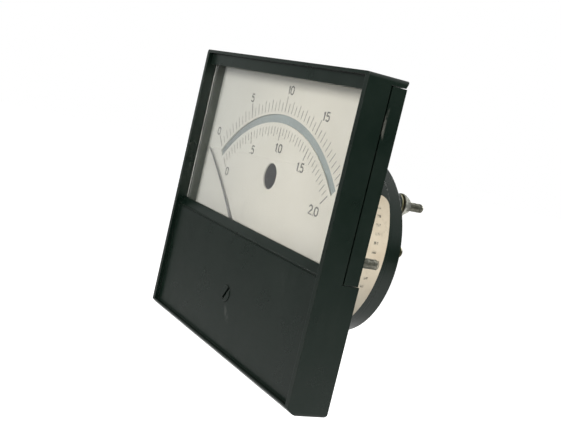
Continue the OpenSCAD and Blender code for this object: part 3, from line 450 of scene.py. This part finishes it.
FINISHES = (
    (cover_mat, "front_cover zero_adjuster"),
    (case_mat, "base_housing rear_cover"),
    (glass_material(), "window_glass"),
    (simple_plastic("spacer_card", (0.085, 0.094, 0.086), (0.130, 0.140, 0.126), 0.6),
     "glass_spacer"),
    (paper_material(), "drum_label"),
    (dial_material(), "dial_plate"),
    (tick_ink, "dial_marks"),
    (mirror_material(), "scale_mirror"),
    (pointer_mat, "pointer"),
    (alu, "coil_former"),
    (winding_material("coil_wire", (0.30, 0.10, 0.03), (0.48, 0.20, 0.07)), "coil_winding"),
    (winding_material("resistor_wire", (0.16, 0.09, 0.05), (0.30, 0.19, 0.10)),
     "resistor_winding"),
    (simple_plastic("bobbin_moulding", (0.10, 0.045, 0.022), (0.16, 0.075, 0.035), 0.42),
     "resistor_bobbin"),
    (simple_plastic("wire_sleeve", (0.22, 0.02, 0.015), (0.30, 0.035, 0.025), 0.5), "lead_wires"),
    (bronze, "front_hairspring rear_hairspring"),
    (iron, "core_magnet yoke_ring"),
    (clean_brass, "balance_weights core_spacers front_bridge rear_bridge zero_lever"
                  " front_jewel_screw rear_jewel_screw"),
    (dull_brass, "rear_screws"),
    (brass, "terminal_brass_washers"),
    (stud_steel, "terminal_lock_washers mounting_studs terminal_studs"),
    (zinc, "terminal_washers terminal_nuts dial_screws plate_screws cover_screws"
           " resistor_screw pointer_stops movement_plate"),
)
LOOK = {name: mat for mat, names in FINISHES for name in names.split()}
for name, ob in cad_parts.items():
    mat = LOOK.get(name, steel)
    for slot in ob.material_slots:
        slot.material = mat
    if not ob.material_slots:
        ob.data.materials.append(mat)

# ------------------------------------------------------------------ numbers printed on the dial
DIAL_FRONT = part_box("dial_marks")[0][1]
PIVOT_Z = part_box("front_pivot")[0][2] / 2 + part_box("front_pivot")[1][2] / 2
NUMBER_H, NUMBER_W, PEN = 3.25 * MM, 2.45 * MM, 0.50 * MM
NUMBER_GAP, DOT_GAP_SHARE = 0.75 * MM, 0.55
INK_PROUD, INK_SUNK = 0.03 * MM, 0.05 * MM
MITRE_LIMIT = 1.5
# what is printed, and where: millimetres from the pointer's axis and degrees clockwise
DIAL_NUMBERS = (
    ("0", 69.8, -45.5), ("5", 69.8, -22.6), ("10", 69.8, 1.0), ("15", 69.8, 24.2),
    ("20", 69.8, 45.5),
    ("0", 49.4, -44.7), (".5", 49.4, -21.5), ("1.0", 49.4, 2.0), ("1.5", 49.4, 23.3),
    ("2.0", 47.9, 45.4),
)


def arc(cx, cz, rx, rz, start, end, steps=10):
    """Points along part of an oval, between two angles in degrees."""
    turns = [math.radians(start + (end - start) * i / steps) for i in range(steps + 1)]
    return [(cx + rx * math.cos(a), cz + rz * math.sin(a)) for a in turns]


# for each figure, the pen's paths in a box 1 wide and 1 high from its lower left corner, and the
# share of the full width that it takes up
FIGURES = {
    "0": ([arc(0.5, 0.66, 0.42, 0.26, 0, 180) + arc(0.5, 0.34, 0.42, 0.26, 180, 360)
           + [(0.92, 0.66)]], 1.0),
    "1": ([[(0.02, 0.76), (0.26, 0.94), (0.26, 0.06)]], 0.34),
    "2": ([arc(0.5, 0.68, 0.40, 0.26, 165, -30) + [(0.08, 0.06), (0.95, 0.06)]], 1.0),
    "5": ([[(0.88, 0.94), (0.24, 0.94), (0.16, 0.56)]
           + arc(0.47, 0.34, 0.42, 0.28, 130, -150)], 1.0),
    ".": ([[(0.10, 0.06), (0.12, 0.06), (0.12, 0.08)]], 0.22),
}


def pen_stroke(bm, path, width):
    """A flat ribbon along a path in the xz plane, with square ends, on the dial's face."""
    left, right = [], []
    last = len(path) - 1
    for i, p in enumerate(path):
        before, after = path[max(i - 1, 0)], path[min(i + 1, last)]
        way = Vector((after[0] - before[0], after[1] - before[1])).normalized()
        side = Vector((-way[1], way[0])) * width / 2
        mitre = 1.0
        if 0 < i < last:
            arriving = Vector((p[0] - before[0], p[1] - before[1])).normalized()
            mitre = 1.0 / max(abs(way.dot(arriving)), 1 / MITRE_LIMIT)
        left.append((p[0] + side[0] * mitre, p[1] + side[1] * mitre))
        right.append((p[0] - side[0] * mitre, p[1] - side[1] * mitre))
    (fl, fr), (bl, br) = ([[bm.verts.new((x, y, z)) for x, z in line] for line in (left, right)]
                          for y in (DIAL_FRONT - INK_PROUD, DIAL_FRONT + INK_SUNK))
    for i in range(last):
        bm.faces.new((fl[i], fl[i + 1], fr[i + 1], fr[i]))
        bm.faces.new((bl[i], br[i], br[i + 1], bl[i + 1]))
        bm.faces.new((fl[i], bl[i], bl[i + 1], fl[i + 1]))
        bm.faces.new((fr[i], fr[i + 1], br[i + 1], br[i]))
    bm.faces.new((fl[0], fr[0], br[0], bl[0]))
    bm.faces.new((fl[-1], bl[-1], br[-1], fr[-1]))


def print_number(bm, word, radius, angle):
    """An upright number, its middle at a radius and clockwise angle from the pointer's axis."""
    widths = [FIGURES[k][1] * NUMBER_W for k in word]
    gaps = [NUMBER_GAP * (DOT_GAP_SHARE if "." in word[i:i + 2] else 1.0)
            for i in range(len(word) - 1)] + [0]
    x = radius * math.sin(math.radians(angle)) - (sum(widths) + sum(gaps)) / 2
    z = PIVOT_Z + radius * math.cos(math.radians(angle)) - NUMBER_H / 2
    for k, width, gap in zip(word, widths, gaps):
        for path in FIGURES[k][0]:
            pen_stroke(bm, [(x + px * NUMBER_W, z + pz * NUMBER_H) for px, pz in path], PEN)
        x += width + gap


def finish_piece(name, bm, mat):
    """Turns a bmesh into a named object with one finish."""
    bmesh.ops.recalc_face_normals(bm, faces=bm.faces)
    me = bpy.data.meshes.new(name)
    bm.to_mesh(me)
    bm.free()
    me.materials.append(mat)
    ob = bpy.data.objects.new(name, me)
    scene.collection.objects.link(ob)
    return ob


def make_dial_numbers():
    bm = bmesh.new()
    for word, radius_mm, angle in DIAL_NUMBERS:
        print_number(bm, word, radius_mm * MM, angle)
    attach(finish_piece("dial_numbers", bm, number_ink), "case")


make_dial_numbers()

# ------------------------------------------------------------------ screw threads
STUD_RADIUS, THREAD_PITCH = 1.5 * MM, 0.5 * MM
RIDGE_SHARE = 0.30  # the ridge's radius as a share of the pitch
TURN_STEPS, RIDGE_SIDES = 20, 4
THREAD_ROOT = 0.02 * MM  # how far the ridge's middle lies inside the stud
PANEL_CLEAR, BARE_TIP = 0.6 * MM, 0.7 * MM  # plain lengths behind the panel plane and at the tip
MERGE = 1e-7
THREAD_INPUTS = (
    ("Ridge Radius", "NodeSocketFloat", STUD_RADIUS), ("Pitch", "NodeSocketFloat", THREAD_PITCH),
    ("Length", "NodeSocketFloat", 6 * MM), ("Ridge", "NodeSocketFloat", 0.16 * MM),
    ("Finish", "NodeSocketMaterial", None),
)


def thread_tree():
    """A ridge that winds along a stud: a coil whose section is a small diamond."""
    t = bpy.data.node_groups.new("stud_thread", "GeometryNodeTree")
    t.interface.new_socket("Geometry", in_out="OUTPUT", socket_type="NodeSocketGeometry")
    sizes = {}
    for label, kind, value in THREAD_INPUTS:
        socket = t.interface.new_socket(label, in_out="INPUT", socket_type=kind)
        if value is not None:
            socket.default_value = value
        sizes[label] = socket.identifier
    g = Nodes(t)
    given, result = g.add("NodeGroupInput").outputs, g.add("NodeGroupOutput").inputs
    turns = g.math("DIVIDE", given["Length"], given["Pitch"])
    coil = g.add("GeometryNodeCurveSpiral")
    for label, value in (("Resolution", TURN_STEPS), ("Rotations", turns),
                         ("Start Radius", given["Ridge Radius"]),
                         ("End Radius", given["Ridge Radius"]), ("Height", given["Length"])):
        g.put(coil.inputs[label], value)
    ridge = g.add("GeometryNodeCurvePrimitiveCircle")
    g.put(ridge.inputs["Resolution"], RIDGE_SIDES)
    g.put(ridge.inputs["Radius"], given["Ridge"])
    sweep = g.add("GeometryNodeCurveToMesh")
    g.link(coil.outputs[0], sweep.inputs["Curve"])
    g.link(ridge.outputs[0], sweep.inputs["Profile Curve"])
    g.put(sweep.inputs["Fill Caps"], True)
    whole = g.add("GeometryNodeRealizeInstances")
    g.link(sweep.outputs[0], whole.inputs[0])
    paint = g.add("GeometryNodeSetMaterial")
    g.link(whole.outputs[0], paint.inputs["Geometry"])
    g.link(given["Finish"], paint.inputs["Material"])
    g.link(paint.outputs[0], result[0])
    return t, sizes


THREAD, THREAD_SIZES = thread_tree()


def make_thread(at, radius, start_y, end_y, mat):
    """The plain mesh of a thread round a stud whose axis runs along y at (x, z)."""
    seed = bpy.data.objects.new("thread_seed", bpy.data.meshes.new("thread_seed"))
    scene.collection.objects.link(seed)
    mod = seed.modifiers.new("thread", "NODES")
    mod.node_group = THREAD
    for label, value in (("Ridge Radius", radius), ("Pitch", THREAD_PITCH), ("Finish", mat),
                         ("Length", end_y - start_y), ("Ridge", THREAD_PITCH * RIDGE_SHARE)):
        mod[THREAD_SIZES[label]] = value
    bpy.context.view_layer.update()
    shown = seed.evaluated_get(bpy.context.evaluated_depsgraph_get())
    me = bpy.data.meshes.new_from_object(shown)
    bpy.data.objects.remove(seed)
    lie_along_y = Matrix.Rotation(math.radians(-90), 4, "X")
    me.transform(Matrix.Translation((at[0], start_y, at[1])) @ lie_along_y)
    return me


def make_threads(name, studs, nuts, mat):
    """Threads on a left and a right stud, from the nut or the panel to the bevelled tip."""
    lo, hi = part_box(studs)
    start_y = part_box(nuts)[1][1] if nuts else PANEL_CLEAR
    stud_half = (hi[2] - lo[2]) / 2 if nuts else STUD_RADIUS
    both = bmesh.new()
    for side in (-1, 1):
        at = (side * (hi[0] - stud_half), (lo[2] + hi[2]) / 2)
        me = make_thread(at, STUD_RADIUS - THREAD_ROOT, start_y, hi[1] - BARE_TIP, mat)
        both.from_mesh(me)
        bpy.data.meshes.remove(me)
    bmesh.ops.remove_doubles(both, verts=both.verts, dist=MERGE)
    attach(finish_piece(name, both, mat), "case")


make_threads("terminal_threads", "terminal_studs", "terminal_nuts", stud_steel)
make_threads("mounting_threads", "mounting_studs", None, stud_steel)

# ------------------------------------------------------------------ stage
BACKDROP_WAY = (-0.866, 0.487, -0.114)
SCREEN_WAY, SCREEN_LEVEL = (-0.87, -0.48, 0.08), 0.12
CEILING_WAY, CEILING_LEVEL = (0.35, 0.50, 0.79), 0.85
WORLD_LIGHT, WORLD_TINT = 0.05, (0.90, 1.0, 0.95)
FLOOR_HALF, FLOOR_DROP = 4.0, 0.16
WARM_WHITE, SIDE_WHITE = (1.0, 0.985, 0.97), (1.0, 0.985, 0.96)
LAMPS = (
    # name, place, aim, width and height, watts, colour, seen in reflections
    ("key", (-0.15, -0.85, 0.31), (0, 0, 0.01), (0.44, 0.38), 6.8, WARM_WHITE, True),
    ("side_lamp", (0.85, -0.10, 0.20), (0, 0, 0), (0.40, 0.40), 6.8, SIDE_WHITE, False),
    ("back_lamp", (-0.30, 0.85, 0.34), (0, 0, 0), (0.44, 0.38), 7.0, WARM_WHITE, True),
)


def floor_material():
    """A pale floor that glows so that it is seen as white, less so near the meter; its reflection
    is dimmer in front of the meter and far off."""
    m = Mat("floor_pale")
    place = m.xyz()
    x, y = place["X"], place["Y"]
    tone = m.ramp(m.noise(60, 2), (0.3, (0.50, 0.50, 0.50)), (0.7, (0.54, 0.54, 0.54)))
    m.done(color=tone, rough=0.7, spec=0.2, normal=m.bump(m.noise(3, 2), 0.05, 0.05))
    away = m.length(m.co)
    fade = m.span(away, 0.20, 0.35, 0.35, 1.0)
    far = m.span(away, 0.5, 1.45, 0.60, 0.0)
    mirrored = m.times(m.span(y, -0.15, 0.15, SCREEN_LEVEL, 1.0),
                       m.math("MAXIMUM", far, m.span(x, 0.3, -0.3)))
    rays = m.add("ShaderNodeLightPath").outputs
    plain = m.either_ray(rays, "Is Camera Ray", "Is Transmission Ray")
    seen = m.math("MAXIMUM", plain, m.times(rays["Is Glossy Ray"], mirrored))
    glow = m.add("ShaderNodeEmission")
    m.link(m.times(seen, fade), glow.inputs["Strength"])
    both = m.add("ShaderNodeAddShader")
    m.link(m.b.outputs[0], both.inputs[0])
    m.link(glow.outputs[0], both.inputs[1])
    return m.surface(both.outputs[0])


def make_floor():
    me = bpy.data.meshes.new("floor")
    s, z = FLOOR_HALF, cad_box[0][2] - FLOOR_DROP
    me.from_pydata([(-s, -s, z), (s, -s, z), (s, s, z), (-s, s, z)], [], [(0, 1, 2, 3)])
    me.materials.append(floor_material())
    ob = bpy.data.objects.new("floor", me)
    scene.collection.objects.link(ob)


def make_world():
    """White where it is seen straight on or through glass, and dim as a light. What shines sees a
    white backdrop at the left behind the meter, a dim screen at its front left and a bright
    ceiling above and behind it."""
    world = bpy.data.worlds.new("studio")
    scene.world = world
    world.use_nodes = True
    g = Nodes(world.node_tree)
    rays = g.add("ShaderNodeLightPath").outputs
    ray_way = g.add("ShaderNodeTexCoord").outputs["Generated"]

    def patch(way, start, full, level):
        """A round bright patch, from the cosines where it starts and where it is full."""
        return g.span(g.dot(ray_way, way), start, full, 0.0, level)

    shine = g.math("MAXIMUM", patch(BACKDROP_WAY, 0.45, 0.85, 1.0),
                   patch(SCREEN_WAY, 0.30, 0.75, SCREEN_LEVEL))
    shine = g.math("MAXIMUM", shine, patch(CEILING_WAY, 0.58, 0.88, CEILING_LEVEL))
    plain = g.either_ray(rays, "Is Camera Ray", "Is Transmission Ray")
    seen = g.math("MAXIMUM", plain, g.times(rays["Is Glossy Ray"], shine))
    sky = g.t.nodes["Background"].inputs
    g.link(g.mix(seen, WORLD_TINT, WHITE), sky["Color"])
    g.link(g.span(seen, 0.0, 1.0, WORLD_LIGHT, 1.0, smooth=False), sky["Strength"])


def make_lamp(name, at, aim, size, watts, colour, shiny):
    """A rectangular lamp turned towards its aim."""
    d = bpy.data.lights.new(name, "AREA")
    d.shape = "RECTANGLE"
    d.size, d.size_y = size
    d.energy = watts
    d.color = colour
    o = bpy.data.objects.new(name, d)
    scene.collection.objects.link(o)
    o.visible_glossy = shiny
    o.location = at
    o.rotation_euler = (Vector(aim) - Vector(at)).to_track_quat("-Z", "Y").to_euler()


make_floor()
make_world()
for lamp in LAMPS:
    make_lamp(*lamp)

scene.view_settings.view_transform = "Standard"
